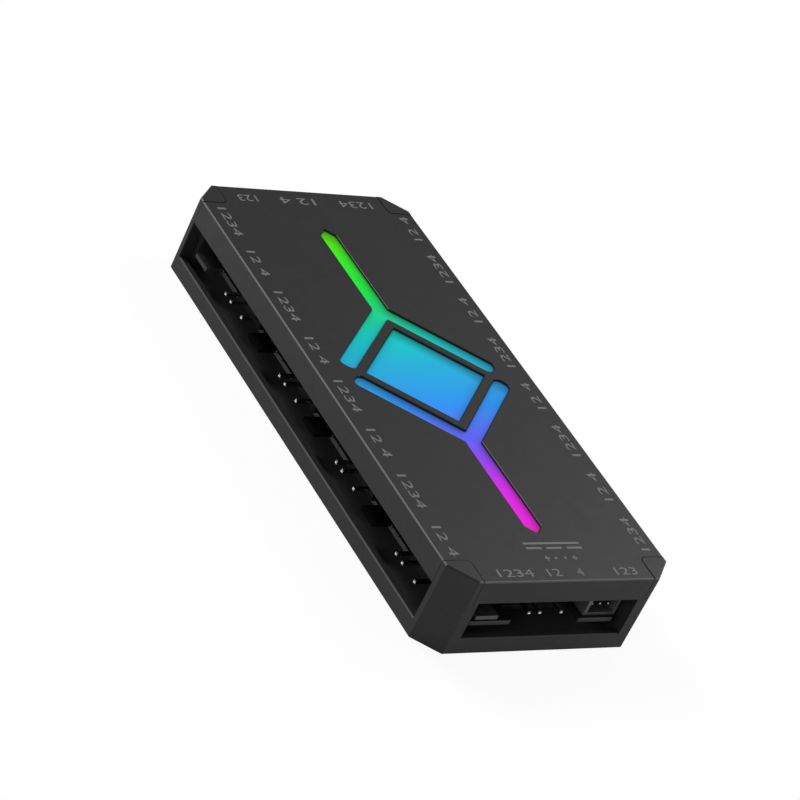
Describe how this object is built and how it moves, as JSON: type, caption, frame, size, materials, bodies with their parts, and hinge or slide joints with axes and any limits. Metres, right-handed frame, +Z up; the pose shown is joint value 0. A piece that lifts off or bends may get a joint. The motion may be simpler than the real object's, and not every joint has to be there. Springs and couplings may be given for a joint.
{
  "type": "fan controller hub",
  "caption": "Flat black case with open windows on all sides, rows of pin headers behind them and lit slots in the top; shares power and signals among computer fans and light strips.",
  "frame": {"origin": "middle of the underside", "axes": "+X across the case, +Y along it away from the end with the power input, +Z up out of the lit top"},
  "size_m": [0.052, 0.12, 0.0178],
  "materials": {
    "casing": "fine matte",
    "diffuser": "milky, lit from below",
    "board": "black solder mask",
    "headers": "moulded",
    "pins": "tin plated",
    "screws": "zinc plated",
    "lamps": "moulded white",
    "chips": "moulded",
    "capacitors": "plain can"
  },
  "bodies": {
    "root": {"back_fan_header": "headers", "back_fan_pins": "pins", "back_light_header": "headers", "back_light_pins": "pins", "base_tray": "casing", "bulk_capacitors": "capacitors", "case_screws": "screws", "controller_chip": "chips", "front_fan_header": "headers", "front_fan_pins": "pins", "left_fan_1_header": "headers", "left_fan_1_pins": "pins", "left_fan_2_header": "headers", "left_fan_2_pins": "pins", "left_fan_3_header": "headers", "left_fan_3_pins": "pins", "left_fan_4_header": "headers", "left_fan_4_pins": "pins", "left_light_1_header": "headers", "left_light_1_pins": "pins", "left_light_2_header": "headers", "left_light_2_pins": "pins", "left_light_3_header": "headers", "left_light_3_pins": "pins", "left_light_4_header": "headers", "left_light_4_pins": "pins", "light_diffuser": "diffuser", "light_leds": "lamps", "main_board": "board", "panel_header": "headers", "panel_pins": "pins", "power_header": "headers", "power_pins": "pins", "right_fan_1_header": "headers", "right_fan_1_pins": "pins", "right_fan_2_header": "headers", "right_fan_2_pins": "pins", "right_fan_3_header": "headers", "right_fan_3_pins": "pins", "right_fan_4_header": "headers", "right_fan_4_pins": "pins", "right_light_1_header": "headers", "right_light_1_pins": "pins", "right_light_2_header": "headers", "right_light_2_pins": "pins", "right_light_3_header": "headers", "right_light_3_pins": "pins", "right_light_4_header": "headers", "right_light_4_pins": "pins", "signal_header": "headers", "signal_pins": "pins", "top_cover": "casing", "voltage_regulator": "chips"}
  },
  "joints": []
}
